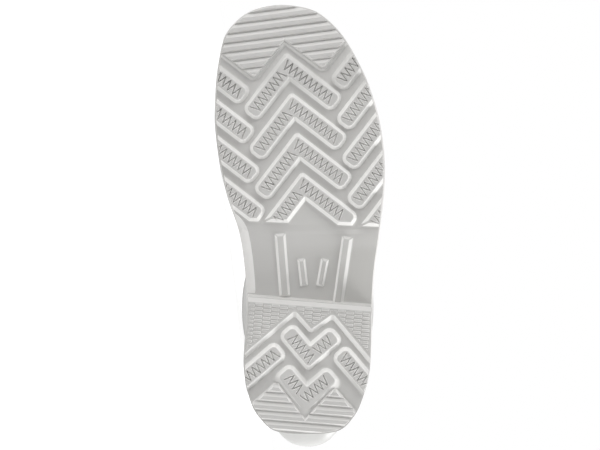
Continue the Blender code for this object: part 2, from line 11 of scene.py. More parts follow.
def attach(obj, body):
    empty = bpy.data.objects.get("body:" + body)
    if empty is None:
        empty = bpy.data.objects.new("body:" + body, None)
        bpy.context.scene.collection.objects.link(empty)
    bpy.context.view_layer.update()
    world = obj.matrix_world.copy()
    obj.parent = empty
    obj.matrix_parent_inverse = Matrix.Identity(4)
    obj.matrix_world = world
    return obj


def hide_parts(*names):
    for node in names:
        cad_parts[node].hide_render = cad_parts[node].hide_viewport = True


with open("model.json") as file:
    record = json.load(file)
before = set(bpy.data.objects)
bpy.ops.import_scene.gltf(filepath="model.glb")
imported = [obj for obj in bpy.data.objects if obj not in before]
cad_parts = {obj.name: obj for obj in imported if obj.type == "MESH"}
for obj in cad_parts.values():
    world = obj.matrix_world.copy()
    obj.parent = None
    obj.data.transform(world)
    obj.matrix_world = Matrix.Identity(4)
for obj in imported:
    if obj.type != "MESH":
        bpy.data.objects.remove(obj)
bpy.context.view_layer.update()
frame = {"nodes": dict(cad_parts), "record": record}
mounts = {mount["name"]: mount for mount in frame["record"]["mounts"]}
print("frame loaded:", ", ".join(sorted(frame["nodes"])))

millimetre = 0.001
weldMm = 1e-4  # points nearer than this count as one
# where the record's two mounts sit on the tread, in the boot's own frame
treadMarks = {"forefoot_tread": Vector((-11.1, 188.35)), "heel_tread": Vector((-34.5, 44.4))}


def bootPlace():
    # the boot's own frame in the room, worked out from the mounts and the way that its tread faces
    (foreName, foreMark), (heelName, heelMark) = treadMarks.items()
    fore, heel = Vector(mounts[foreName]["pos_m"]), Vector(mounts[heelName]["pos_m"])
    up = -Vector(mounts[foreName]["axis"]).normalized()
    run, drawn = fore - heel, foreMark - heelMark
    inward = (drawn.x * run - drawn.y * up.cross(run)).normalized()
    toeward = up.cross(inward)
    start = fore - (inward * foreMark.x + toeward * foreMark.y) * millimetre
    return Matrix.Translation(start) @ Matrix((inward, toeward, up)).transposed().to_4x4()


bootToRoom = bootPlace()
drawnToRoom = bootToRoom @ Matrix.Scale(millimetre, 4)


# camera: the photograph's square look at the sole, toe at the top of the picture
photoView = dict(distance=1400.0, mmPerPixel=0.686, imageWide=600, centre=(4.14, 144.21), sensor=36.0,
                 clip=(0.05, 50.0))


def placeCamera():
    view = photoView
    lens = bpy.data.cameras.new("camera")
    lens.sensor_width = view["sensor"]
    lens.lens = view["sensor"] * view["distance"] / (view["imageWide"] * view["mmPerPixel"])
    lens.clip_start, lens.clip_end = view["clip"]
    camera = bpy.data.objects.new("camera", lens)
    bpy.context.scene.collection.objects.link(camera)
    turn = bootToRoom.to_3x3()
    right, top, back = turn @ Vector((-1, 0, 0)), turn @ Vector((0, 1, 0)), turn @ Vector((0, 0, -1))
    stand = drawnToRoom @ Vector((*view["centre"], -view["distance"]))
    camera.matrix_world = Matrix.Translation(stand) @ Matrix((right, top, back)).transposed().to_4x4()
    bpy.context.scene.camera = camera
    print("camera stands", round(stand.z / millimetre), "mm above the floor")


placeCamera()


# shared drawing helpers
def ease(value, low, high):
    t = min(1.0, max(0.0, (value - low) / (high - low)))
    return t * t * (3.0 - 2.0 * t)


def easeOff(value, low, high):
    # the same, from one down to nothing
    return ease(-value, -high, -low)


def within(value, span):
    return span[0] < value < span[1]


def readTable(rows, at):
    # smooth reading of (key, value) rows, never past them
    keys, values = zip(*rows)
    at = min(max(at, keys[0]), keys[-1])
    last = len(keys) - 1
    i = max(k for k in range(last) if keys[k] <= at)
    slopes = [(values[k + 1] - values[k]) / (keys[k + 1] - keys[k]) for k in range(last)]

    def tangent(k):
        if k in (0, last):
            return slopes[min(k, last - 1)]
        before, after = slopes[k - 1], slopes[k]
        return 0.0 if before * after <= 0 else 2.0 * before * after / (before + after)

    span = keys[i + 1] - keys[i]
    t = (at - keys[i]) / span
    lead = t * (1.0 - t) ** 2 * tangent(i) - t * t * (1.0 - t) * tangent(i + 1)
    return values[i] + (values[i + 1] - values[i]) * t * t * (3.0 - 2.0 * t) + span * lead


def throughPoints(p, t):
    # Catmull-Rom curve from p[1] to p[2]
    return 0.5 * (2.0 * p[1] + (p[2] - p[0]) * t + (2.0 * p[0] - 5.0 * p[1] + 4.0 * p[2] - p[3]) * t * t
                  + (3.0 * p[1] - p[0] - 3.0 * p[2] + p[3]) * t ** 3)


def ringOf(bm, points):
    # a circle of edges whose points are moved to their places
    verts = bmesh.ops.create_circle(bm, segments=len(points), radius=1.0)["verts"]
    for vert, point in zip(verts, points):
        vert.co = point
    return list({edge for vert in verts for edge in vert.link_edges})


def loftRings(bm, rings, caps=True):
    loops = [ringOf(bm, points) for points in rings]
    for low, high in zip(loops, loops[1:]):
        bmesh.ops.bridge_loops(bm, edges=low + high)
    if caps:
        for loop in (loops[0], loops[-1]):
            bmesh.ops.contextual_create(bm, geom=loop)


def closeUp(bm, triangles=False):
    # joins what meets and turns the faces outwards; triangles keep bent faces as they are
    bmesh.ops.remove_doubles(bm, verts=bm.verts, dist=weldMm)
    bmesh.ops.recalc_face_normals(bm, faces=bm.faces)
    if triangles:
        bmesh.ops.triangulate(bm, faces=bm.faces)


def cutThrough(bm, point, normal, clear=False):
    whole = [*bm.verts, *bm.edges, *bm.faces]
    bmesh.ops.bisect_plane(bm, geom=whole, dist=weldMm, plane_co=point, plane_no=normal, clear_outer=clear)


def scratchObject(name, bm):
    mesh = bpy.data.meshes.new(name)
    bm.to_mesh(mesh)
    bm.free()
    obj = bpy.data.objects.new(name, mesh)
    bpy.context.scene.collection.objects.link(obj)
    return obj


def carve(target, operation, name, bm, selfMeeting=False):
    tool = scratchObject(name, bm)
    modifier = target.modifiers.new(name, "BOOLEAN")
    modifier.operation, modifier.solver, modifier.object = operation, "EXACT", tool
    modifier.use_self = selfMeeting
    return tool


def removeWithTools(obj):
    for tool in [modifier.object for modifier in obj.modifiers]:
        removeWithTools(tool)
    bpy.data.objects.remove(obj)


def takeMesh(obj):
    # the finished shape of a scratch object, which is then removed
    bm = bmesh.new()
    bm.from_object(obj, bpy.context.evaluated_depsgraph_get())
    removeWithTools(obj)
    return bm


def finishPiece(name, bm, material, node, sharpAngle):
    # a finished mesh in its place in the room, riding on the boot and standing for its solid
    bmesh.ops.transform(bm, matrix=drawnToRoom, verts=bm.verts)
    obj = scratchObject(name, bm)
    obj.data.materials.append(material)
    obj.data.shade_smooth()
    obj.data.set_sharp_from_angle(angle=math.radians(sharpAngle))
    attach(obj, "root")
    if node:
        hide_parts(node)
    print(name, "made:", len(obj.data.polygons), "faces")
    return obj


# materials
def toLinear(hexColour):
    channels = [int(hexColour[k:k + 2], 16) / 255.0 for k in (1, 3, 5)]
    return [c / 12.92 if c <= 0.04045 else ((c + 0.055) / 1.055) ** 2.4 for c in channels] + [1.0]


def addNode(tree, kind, values={}):
    # another node's output is linked; other values are set on a socket or an option of the node
    node = tree.nodes.new(kind)
    for name, value in values.items():
        if isinstance(value, bpy.types.NodeSocket):
            tree.links.new(value, node.inputs[name])
        elif isinstance(name, int) or name in node.inputs:
            node.inputs[name].default_value = value
        else:
            setattr(node, name, value)
    return node


def newMaterial(name, **shaderSettings):
    material = bpy.data.materials.new(name)
    material.use_nodes = True
    shader = material.node_tree.nodes["Principled BSDF"]
    for socket, value in shaderSettings.items():
        shader.inputs[socket.replace("_", " ")].default_value = value
    return material, material.node_tree, shader


def noise(tree, sizeMm, detail, distortion=0.0):
    # cloudy noise in the material, with features of a real size
    place = addNode(tree, "ShaderNodeTexCoord").outputs["Object"]
    scale = 1.0 / (sizeMm * millimetre)
    values = {"Vector": place, "Scale": scale, "Detail": detail, "Distortion": distortion}
    return addNode(tree, "ShaderNodeTexNoise", values).outputs["Fac"]


def maths(tree, operation, *values):
    return addNode(tree, "ShaderNodeMath", {"operation": operation, **dict(enumerate(values))}).outputs[0]


def mapRange(tree, value, span, target=(0.0, 1.0)):
    limits = {"From Min": span[0], "From Max": span[1], "To Min": target[0], "To Max": target[1]}
    return addNode(tree, "ShaderNodeMapRange", {"Value": value, **limits}).outputs["Result"]


def blend(tree, share, first, second):
    # mix of two colours, each a hex colour or another node's output
    first, second = (toLinear(colour) if isinstance(colour, str) else colour for colour in (first, second))
    return addNode(tree, "ShaderNodeMix", {"data_type": "RGBA", 0: share, 6: first, 7: second}).outputs[2]


def dressShader(tree, shader, colour, relief, depthMm, roughness=None):
    # colour and relief of a surface, and the span of its roughness where that follows the relief
    values = {"Height": relief, "Distance": depthMm * millimetre, "Strength": 1.0}
    tree.links.new(addNode(tree, "ShaderNodeBump", values).outputs["Normal"], shader.inputs["Normal"])
    tree.links.new(colour, shader.inputs["Base Color"])
    if roughness:
        tree.links.new(mapRange(tree, relief, (0.0, 1.0), roughness), shader.inputs["Roughness"])


# shank is the colour of painted shade on the flats and in the sunk shank, side the colour of a painted
# highlight on the sloping sides
solePaint = dict(light="#c7c6c4", dark="#c1c0be", shank="#b4b3b0", side="#eae9e7", roughness=(0.45, 0.59),
                 mottleMm=22.0, grainMm=0.9, grainDepthMm=0.012)


def mouldedSoleRubber():
    # injection-moulded PVC and nitrile rubber: an even warm grey, satin, with a faint cloudy flow
    # and a fine matt grain, which is drawn coarser than the real 0.2 mm so that it shows;
    # painted shade darkens the flats and the sunk shank, and a painted highlight lightens the sloping sides
    paint = solePaint
    material, tree, shader = newMaterial("mouldedSoleRubber", IOR=1.53)
    rubber = blend(tree, noise(tree, paint["mottleMm"], detail=4.0), paint["dark"], paint["light"])
    paintedShade, lean, lift = (addNode(tree, "ShaderNodeAttribute", {"attribute_name": mark}).outputs["Fac"]
                        for mark in ("paintedShade", "lean", "lift"))
    # painted shade: the flats and the sunk shank are blended towards the darker shank colour
    shadedRubber = blend(tree, paintedShade, rubber, paint["shank"])
    # painted highlight: the lean mark, thinned by the lift mark at the toe and in the heel, lightens the
    # sloping sides towards the side colour
    colour = blend(tree, maths(tree, "MULTIPLY", lean, lift), shadedRubber, paint["side"])
    grain = noise(tree, paint["grainMm"], detail=3.0)
    dressShader(tree, shader, colour, grain, paint["grainDepthMm"], paint["roughness"])
    return material


upperPaint = dict(light="#d9d9d7", dark="#d4d4d2", roughness=(0.29, 0.39), mottleMm=60.0, peelMm=2.6,
                  peelDepthMm=0.02)


def mouldedUpperPvc():
    # injection-moulded white PVC: clean, a soft gloss with the slight orange peel of a polished mould
    paint = upperPaint
    material, tree, shader = newMaterial("mouldedUpperPvc", IOR=1.53, Coat_Weight=0.15, Coat_Roughness=0.2)
    colour = blend(tree, noise(tree, paint["mottleMm"], detail=3.0), paint["dark"], paint["light"])
    peel = noise(tree, paint["peelMm"], detail=2.0)
    dressShader(tree, shader, colour, peel, paint["peelDepthMm"], paint["roughness"])
    return material


# outsole: its plan and heights
sole = dict(
    length=297.0, ballWidth=116.0, ballThickness=17.0, heelHeight=32.0, heelRise=(70.0, 175.0),
    toeSpring=12.0, springStart=215.0, lugDepth=4.5, archRise=8.5, archSpan=(95.0, 150.0),
    archBand=5.5, bandBack=(88.0, 98.0), bandFront=(138.0, 160.0), bandLift=4.0,
    edgeRound=1.0, shoulder=3.0, shoulderRound=(0.15, 1.0), planSteps=8, cutEnds=2.0, cutStep=4.0,
    # rim under the upper as (inset, depth under the top)
    rim=[(0.0, 7.3), (-0.2, 6.9), (-0.65, 6.4), (-0.8, 5.8), (-0.8, 1.2), (-0.56, 0.4), (0.2, 0.0)],
    # edges as shares of length and ball width: (along, inner, outer)
    stations=[
        (0.000, -0.003, -0.003), (0.007, 0.181, -0.188), (0.037, 0.276, -0.278), (0.079, 0.334, -0.334),
        (0.153, 0.369, -0.381), (0.286, 0.351, -0.392), (0.376, 0.359, -0.404), (0.465, 0.391, -0.433),
        (0.549, 0.460, -0.456), (0.626, 0.507, -0.464), (0.714, 0.535, -0.439), (0.801, 0.533, -0.378),
        (0.872, 0.513, -0.297), (0.929, 0.476, -0.210), (0.970, 0.388, -0.109), (0.991, 0.289, -0.013),
        (1.000, 0.147, 0.147),
    ],
)


def toeSpring(y):
    over = max(0.0, y - sole["springStart"]) / (sole["length"] - sole["springStart"])
    return sole["toeSpring"] * over * over


def soleTop(y):
    rise = sole["heelHeight"] - sole["ballThickness"]
    return sole["ballThickness"] + rise * easeOff(y, *sole["heelRise"]) + toeSpring(y)


def soleBottom(y):
    return sole["lugDepth"] + sole["archRise"] * easeOff(y, *sole["archSpan"]) + toeSpring(y)


def archShare(y):
    return ease(y, *sole["bandBack"]) * easeOff(y, *sole["bandFront"])


def solePlan(inset, steps):
    # closed outline from the heel end up the inner edge and back down the outer one
    width, length = sole["ballWidth"], sole["length"]
    corners = [Vector((inner * width, along * length)) for along, inner, outer in sole["stations"]]
    corners += [Vector((outer * width, along * length)) for along, inner, outer in sole["stations"][-2:0:-1]]
    count = len(corners)
    loop = []
    for i in range(count):
        near = [corners[(i + k) % count] for k in (-1, 0, 1, 2)]
        loop += [throughPoints(near, step / steps) for step in range(steps)]
    moved = []
    for i, point in enumerate(loop):
        along = (loop[(i + 1) % len(loop)] - loop[i - 1]).normalized()
        depth = inset(point.y, point.x > 0) if callable(inset) else inset
        moved.append(point + Vector((-along.y, along.x)) * depth)
    return moved


def soleRing(inset, height):
    return [Vector((p.x, p.y, height(p.y, p.x > 0))) for p in solePlan(inset, sole["planSteps"])]


def softEdge(radius):
    # rounded edge as (inset, rise), with one step halfway round
    halfway = 0.3 * radius
    return [(radius, 0.0), (halfway, halfway), (0.0, radius)]


def cutAcross(bm, start, stop, step):
    # cuts across the foot, so that broad faces can follow the spring of the sole
    for k in range(int((stop - start) / step) + 1):
        cutThrough(bm, (0.0, start + k * step, 0.0), (0.0, 1.0, 0.0))


def bendAlong(bm, height, start, stop, step):
    cutAcross(bm, start, stop, step)
    for vert in bm.verts:
        vert.co.z += height(vert.co.y)
    closeUp(bm, triangles=True)


def springUp(bm):
    bendAlong(bm, toeSpring, sole["springStart"], sole["length"], tread["cutStep"])


def soleBody():
    # plate of the sole with its side wall: soft lower edge, arch flank, and the rim under the upper
    def footInset(extra):
        return lambda y, inner: extra + (sole["archBand"] * archShare(y) if inner else 0.0)

    def shoulder(y, inner):
        return soleBottom(y) + sole["shoulder"] + (sole["bandLift"] * archShare(y) if inner else 0.0)

    inset, lift = sole["shoulderRound"]
    rings = [soleRing(footInset(step), lambda y, inner: soleBottom(y) + rise)
             for step, rise in softEdge(sole["edgeRound"])]
    rings += [soleRing(inset, shoulder), soleRing(0.0, lambda y, inner: shoulder(y, inner) + lift)]
    rings += [soleRing(step, lambda y, inner: soleTop(y) - drop) for step, drop in sole["rim"]]
    bm = bmesh.new()
    loftRings(bm, rings)
    cutAcross(bm, sole["cutEnds"], sole["length"] - sole["cutEnds"], sole["cutStep"])
    closeUp(bm, triangles=True)
    return bm


# tread: u runs across to the inner side and v towards the toe, each pattern turned a little on the sole
tread = dict(
    forefoot=(1.6, 171.2, 7.5), heel=(-2.2, 53.6, -4.6),  # x, y and turn in degrees
    lugWidth=14.9, lugSlope=2.8, lugPitch=27.6, rootFillet=1.8, topRound=1.4, edgeInset=0.35, cutStep=6.0,
    bury=1.2, skirt=0.2, sink=0.04, endRound=5.6, apexRound=2.4, notchRound=1.0, leastRound=0.6,
    chevrons=4, chevronArm=43.5, heelArm=25.5, heelTail=17.5, heelSpread=1.5,
    sideStart=31.5, sideLead=9.5, sideLength=60.0, backLine=((50.0, 147.0), (-55.0, 142.5)), backGraze=0.8,
    sideRows=[(1, (2, 1, 0, -1)), (-1, (2, 1, 0, -1, -2))],  # side, and its rows from the toe
    heelSides=[(1, 19.4, 4.6), (-1, 19.5, 6.0)],  # side, start across and start along
    padDepth=1.9, padSlope=1.6, padRound=1.2, brickDepth=0.6, brickSlope=3.2, brickFillet=0.4,
    # pad outlines as (u, v, corner round)
    toePad=[(-90, 160, 0), (-90, 140, 0), (-24, 74, 5.6), (0, 97.5, 0),
            (24, 74, 5.6), (90, 140, 0), (90, 160, 0)],
    heelPadFront=[(-90, 37.6, 0), (-90, -51, 0), (-13.8, 27, 2.4), (0, 15.2, 4),
                  (12.2, 27, 2.4), (90, -51, 0), (90, 37.6, 0)],
    heelPadBack=[(-90, -120, 0), (-90, -90, 0), (-19, -19, 3), (-0.6, -41.7, 0),
                 (21, -18.3, 3), (90, -90, 0), (90, -120, 0)],
)
halfRight = math.sqrt(0.5)


def onPattern(pattern, u, v):
    x, y, turn = tread[pattern]
    c, s = math.cos(math.radians(turn)), math.sin(math.radians(turn))
    return Vector((x + u * c + v * s, y - u * s + v * c))


def turnOf(corners):
    # twice the area inside an outline, below zero if the outline runs clockwise
    return sum(a.x * b.y - b.x * a.y for a, b in zip(corners, corners[1:] + corners[:1]))


def sidesMoved(corners, amounts):
    # polygon with each side moved outwards by its own amount, corners kept sharp
    moved = []
    for i, corner in enumerate(corners):
        before = (corner - corners[i - 1]).normalized()
        after = (corners[(i + 1) % len(corners)] - corner).normalized()
        outBefore, outAfter = Vector((before.y, -before.x)), Vector((after.y, -after.x))
        a, b = amounts[i - 1], amounts[i]
        meet = outBefore.x * outAfter.y - outBefore.y * outAfter.x
        if abs(meet) < 1e-6:  # the two sides are in line
            moved.append(corner + outAfter * b)
        else:
            shift = Vector((a * outAfter.y - b * outBefore.y, outBefore.x * b - outAfter.x * a))
            moved.append(corner + shift / meet)
    return moved


def cornersRounded(corners, radii, steps=6):
    points = []
    for i, (corner, radius) in enumerate(zip(corners, radii)):
        if radius <= 0:
            points.append(corner)
            continue
        before = (corners[i - 1] - corner).normalized()
        after = (corners[(i + 1) % len(corners)] - corner).normalized()
        half = math.acos(max(-1.0, min(1.0, before.dot(after)))) / 2.0
        reach = radius / math.tan(half)
        start, end = corner + before * reach, corner + after * reach
        centre = corner + (before + after).normalized() * (radius / math.sin(half))
        points += [centre + (start.lerp(end, k / steps) - centre).normalized() * radius
                   for k in range(steps + 1)]
    return points


def mouldedSide(slope, foot, top, rootFillet, topRound, steps=4):
    # side of a moulded block as (step out, height): fillet at the floor, straight draft, rounded tread edge
    lean = math.atan2(foot - top, slope)
    spread, turn = rootFillet * math.tan(lean / 2.0), topRound * math.tan(lean / 2.0)
    skirt = spread + tread["skirt"]
    profile = [(skirt, foot + tread["bury"]), (skirt, foot + tread["sink"])]
    for k in range(1, steps + 1):
        a = math.pi / 2.0 + lean * k / steps
        profile.append((spread + rootFillet * math.cos(a), foot - rootFillet + rootFillet * math.sin(a)))
    for k in range(steps + 1):
        a = lean * (1.0 - k / steps) - math.pi / 2.0
        profile.append((topRound * math.cos(a) - slope - turn, top + topRound + topRound * math.sin(a)))
    return profile


def mouldedBlock(bm, corners, radii, profile, leans=None, tail=None):
    # block on an outline, a ring for each row of its side profile; leans stretch the profile side by side
    # and a tail draws out the foot of the first corner
    foot, top = profile[1][1], profile[-1][1]
    if turnOf(corners) < 0:
        corners, radii = [corners[0]] + corners[:0:-1], [radii[0]] + radii[:0:-1]
    leans = leans or [1.0] * len(corners)
    rings = []
    for out, height in profile:
        moved = sidesMoved(corners, [out * lean for lean in leans])
        if tail:
            moved[0] += tail * min(1.0, (height - top) / (foot - top))
        grown = [max(r + (out if r > tread["apexRound"] else 0.0), tread["leastRound"]) if r > 0 else 0.0
                 for r in radii]
        rings.append([Vector((*p, height)) for p in cornersRounded(moved, grown)])
    loftRings(bm, rings)


def toeSide(pattern, corners, radii):
    # what is left of an outline ahead of the line where the forefoot tread ends
    if pattern != "forefoot":
        return corners, radii
    start, end = (Vector(p) for p in tread["backLine"])
    ahead = Vector((end.y - start.y, start.x - end.x)).normalized()
    depths = [(corner - start).dot(ahead) for corner in corners]
    depths = [depth if abs(depth) > tread["backGraze"] else 0.0 for depth in depths]
    kept, keptRadii = [], []
    for i, corner in enumerate(corners):
        if depths[i - 1] * depths[i] < 0:
            share = depths[i - 1] / (depths[i - 1] - depths[i])
            kept.append(corners[i - 1].lerp(corner, share))
            keptRadii.append(tread["notchRound"])
        if depths[i] >= 0:
            kept.append(corner)
            keptRadii.append(radii[i])
    return kept, keptRadii


def lugProfile():
    return mouldedSide(tread["lugSlope"], sole["lugDepth"], 0.0, tread["rootFillet"], tread["topRound"])


def chevron(bm, pattern, apex, arm, point, tail=0.0, spread=0.0):
    # two arms at right angles that meet towards the toe (point 1) or the heel (-1)
    # a tail draws out the tip, and a spread widens the slopes on both sides of the tip
    half = tread["lugWidth"] / 2.0
    deep, end, across = half / halfRight, arm * halfRight, half * halfRight
    shape = [
        (0.0, deep, tread["apexRound"]), (-end - across, across - end, tread["endRound"]),
        (-end + across, -across - end, tread["endRound"]), (0.0, -deep, tread["notchRound"]),
        (end - across, -across - end, tread["endRound"]), (end + across, across - end, tread["endRound"]),
    ]
    corners = [onPattern(pattern, u, apex + point * v) for u, v, _ in shape]
    corners, radii = toeSide(pattern, corners, [r for _, _, r in shape])
    profile, leans, drawn = lugProfile(), None, None
    if tail:
        drawn = onPattern(pattern, 0.0, point * tail) - onPattern(pattern, 0.0, 0.0)
        out = point * spread  # an outline that points to the heel runs the other way round
        corners = sidesMoved(corners, [out, 0.0, 0.0, 0.0, 0.0, out])
        wide = 1.0 - spread / profile[-1][0]
        leans = [wide, 1.0, 1.0, 1.0, 1.0, wide]
    mouldedBlock(bm, corners, radii, profile, leans, drawn)


def sideLug(bm, pattern, side, startU, startV, forward):
    # slanting lug from its round end out past the edge of the sole
    along = Vector((side, forward)) * halfRight
    across = Vector((-along.y, along.x)) * tread["lugWidth"] / 2.0
    start = Vector((side * startU, startV))
    end = start + along * tread["sideLength"]
    corners = [onPattern(pattern, *c) for c in (start - across, start + across, end + across, end - across)]
    corners, radii = toeSide(pattern, corners, [tread["endRound"], tread["endRound"], 0.0, 0.0])
    mouldedBlock(bm, corners, radii, lugProfile())


def padOutline(pattern, shape):
    return [onPattern(pattern, u, v) for u, v, _ in tread[shape]], [r for _, _, r in tread[shape]]


def pad(bm, pattern, shape, top, slope, rootFillet):
    profile = mouldedSide(slope, sole["lugDepth"], top, rootFillet, tread["padRound"])
    mouldedBlock(bm, *padOutline(pattern, shape), profile)


def boxOutline(pattern, side, low, high):
    return [onPattern(pattern, u, v) for u, v in ((-side, low), (side, low), (side, high), (-side, high))]


def treadLugs():
    bm = bmesh.new()
    pitch = tread["lugPitch"]
    for k in range(tread["chevrons"]):
        chevron(bm, "forefoot", pitch * k, tread["chevronArm"], 1)
    for side, rows in tread["sideRows"]:
        for k in rows:
            sideLug(bm, "forefoot", side, tread["sideStart"], tread["sideLead"] + pitch * k, 1)
    pad(bm, "forefoot", "toePad", tread["padDepth"], tread["padSlope"], tread["rootFillet"])
    chevron(bm, "heel", 0.0, tread["heelArm"], -1)
    chevron(bm, "heel", -pitch, tread["heelArm"], -1, tread["heelTail"], tread["heelSpread"])
    for side, u, v in tread["heelSides"]:
        sideLug(bm, "heel", side, u, v, -1)
    pad(bm, "heel", "heelPadFront", tread["brickDepth"], tread["brickSlope"], tread["brickFillet"])
    pad(bm, "heel", "heelPadBack", tread["padDepth"], tread["padSlope"], tread["rootFillet"])
    springUp(bm)
    return bm


bar = dict(
    pitch=6.4, heelward=1.95, toeward=3.9, side=66.0, slope=1.0, rootFillet=0.3, topRound=0.3, toeLean=2.4,
    endSlope=1.2, endRound=1.2, endLap=1.0,
    # (pattern, pad, first row, how many rows, border left free around them, lean of their heel side)
    rows=[("forefoot", "toePad", 74.1, 9, 2.6, 0.8), ("heel", "heelPadBack", -69.2, 8, 0.4, 1.4)],
)


def treadBars(pattern, first, count, heelLean):
    # cross bars right over a pad: a long slope to the toe, a steep face to the heel
    bm = bmesh.new()
    profile = mouldedSide(bar["slope"], tread["padDepth"], 0.0, bar["rootFillet"], bar["topRound"], steps=3)
    leans = [heelLean, 1.0, bar["toeLean"], 1.0]
    for k in range(count):
        v = first + k * bar["pitch"]
        corners = boxOutline(pattern, bar["side"], v - bar["heelward"], v + bar["toeward"])
        mouldedBlock(bm, corners, [0.0] * 4, profile, leans)
    springUp(bm)
    return bm


def padPrism(pattern, shape, border):
    # plan of a pad, smaller by a border and with leaning sides, which trims the bars on it
    bm = bmesh.new()
    depth, lap = tread["padDepth"], bar["endLap"]
    corners, rounds = padOutline(pattern, shape)
    way = math.copysign(1.0, turnOf(corners))
    rings = []
    for height in (depth + lap, -lap):
        inward = way * (-border - bar["endSlope"] * (depth - height) / depth)
        radii = [max(r - abs(inward), bar["endRound"]) if r > 0 else 0.0 for r in rounds]
        outline = cornersRounded(sidesMoved(corners, [inward] * len(corners)), radii)
        rings.append([Vector((*p, height)) for p in outline])
    loftRings(bm, rings)
    springUp(bm)
    return bm


heelForm = dict(front=39.2, side=90.0, slope=1.0, frontLean=1.8, rootFillet=0.4, topRound=0.3)


def heelBlock():
    # heel under the arch floor, from its sloping breast to past the heel end
    bm = bmesh.new()
    corners = boxOutline("heel", heelForm["side"], -heelForm["side"], heelForm["front"])
    profile = mouldedSide(heelForm["slope"], sole["lugDepth"] + sole["archRise"], sole["lugDepth"],
                          heelForm["rootFillet"], heelForm["topRound"])
    mouldedBlock(bm, corners, [0.0] * 4, profile, [1.0, 1.0, heelForm["frontLean"], 1.0])
    closeUp(bm, triangles=True)
    return bm


shank = dict(
    height=2.4, slope=1.5, rootFillet=0.9, topRound=0.5, corner=0.8, frontLean=1.6,
    span=(84.0, 145.0), cutStep=5.0,
    # (x and y at the front, x and y at the back, width, leans of the inner and the outer side)
    ribs=[(18.0, 138.6, 14.6, 94.6, 8.0, 1.4, 1.3), (3.4, 121.4, 1.2, 101.8, 5.6, 1.0, 1.0),
          (-13.2, 121.4, -9.6, 101.8, 5.6, 1.0, 1.0), (-28.8, 136.6, -22.2, 89.1, 8.0, 1.0, 1.9)],
)


def shankRibs():
    bm = bmesh.new()
    profile = mouldedSide(shank["slope"], 0.0, -shank["height"], shank["rootFillet"], shank["topRound"])
    for xFront, yFront, xBack, yBack, width, innerLean, outerLean in shank["ribs"]:
        front, back = Vector((xFront, yFront)), Vector((xBack, yBack))
        along = (front - back).normalized()
        across = Vector((-along.y, along.x)) * width / 2.0
        corners = [back + across, back - across, front - across, front + across]
        leans = [1.0, innerLean, shank["frontLean"], outerLean]
        mouldedBlock(bm, corners, [shank["corner"]] * 4, profile, leans)
    bendAlong(bm, soleBottom, *shank["span"], shank["cutStep"])
    return bm


sipe = dict(
    half=2.12, reach=3.5, mouth=1.8, slot=0.42, foot=0.34, chamfer=0.75, depth=1.8, proud=0.1, overlap=0.1,
    lower=0.04, apexLead=-2.6, apexGap=6.0, endGap=5.0, sideEnd=45.0, heelSideEnd=42.0, bright=0.6,
    # shorter sipes where the forefoot tread ends: on the first chevron and in the last row of side lugs
    armShort=3.0, cutRow=-2, cutStart=19.0,
)


def sipeStroke(bm, pattern, start, end, lower):
    # one straight stroke of a sipe: a chamfered mouth at the tread over a narrow slot
    along = (end - start).normalized()
    across = Vector((-along.y, along.x))
    reach = along * ((end - start).length / 2.0 + sipe["overlap"])
    middle = (start + end) / 2.0
    levels = [(-sipe["proud"], sipe["mouth"]), (sipe["chamfer"] + lower, sipe["slot"]),
              (sipe["depth"] + lower, sipe["foot"])]
    rings = []
    for height, width in levels:
        side = across * width / 2.0
        corners = (middle - reach - side, middle + reach - side, middle + reach + side, middle - reach + side)
        rings.append([Vector((*onPattern(pattern, *corner), height)) for corner in corners])
    loftRings(bm, rings)


def zigzag(bm, pattern, start, along, first, last, parity):
    # every other stroke of one zigzag sipe along a lug, so that no two of them meet
    across = Vector((-along.y, along.x)) * sipe["reach"]
    turns = [start + along * (first + k * sipe["half"]) + across * (1 if k % 2 else -1)
             for k in range(int((last - first) / sipe["half"]) + 1)]
    for here, there in list(zip(turns, turns[1:]))[parity::2]:
        sipeStroke(bm, pattern, here, there, sipe["lower"] * parity)


def sipeCutters(parity):
    bm = bmesh.new()
    pitch, gap = tread["lugPitch"], sipe["endGap"]
    # chevrons as (pattern, row, arm, way it points, side whose sipe runs over the apex)
    chevrons = [("forefoot", k, tread["chevronArm"], 1, -1) for k in range(tread["chevrons"])]
    chevrons += [("heel", 0, tread["heelArm"], -1, 1), ("heel", 1, tread["heelArm"], -1, -1)]
    for pattern, k, arm, point, lead in chevrons:
        start = Vector((0.0, pitch * k * point))
        last = arm - gap - (sipe["armShort"] if pattern == "forefoot" and k == 0 else 0.0)
        for side in (1, -1):
            along = Vector((side, -point)) * halfRight
            first = sipe["apexLead"] if side == lead else sipe["apexGap"]
            zigzag(bm, pattern, start, along, first, last, parity)
    for side, rows in tread["sideRows"]:
        along = Vector((side, 1)) * halfRight
        for k in rows:
            start = Vector((side * tread["sideStart"], tread["sideLead"] + pitch * k))
            first = sipe["cutStart"] if k == sipe["cutRow"] else gap
            zigzag(bm, "forefoot", start, along, first, sipe["sideEnd"], parity)
    for side, u, v in tread["heelSides"]:
        along = Vector((side, -1)) * halfRight
        zigzag(bm, "heel", Vector((side * u, v)), along, gap, sipe["heelSideEnd"], parity)
    for vert in bm.verts:
        vert.co.z += toeSpring(vert.co.y)
    bmesh.ops.recalc_face_normals(bm, faces=bm.faces)
    bmesh.ops.triangulate(bm, faces=bm.faces)
    # painted highlight on the sipe walls: they get part of the lean mark that lightens the sloping sides
    lean = bm.faces.layers.float.new("lean")
    for face in bm.faces:
        face[lean] = sipe["bright"]
    return bm


brick = dict(column=5.7, row=2.75, columns=9, rows=22, long=5.1, wide=1.75, stagger=0.9, soft=0.3, sink=0.5,
             border=2.0, gap=1.0, lower=4.6, limit=(-1.0, 3.0))


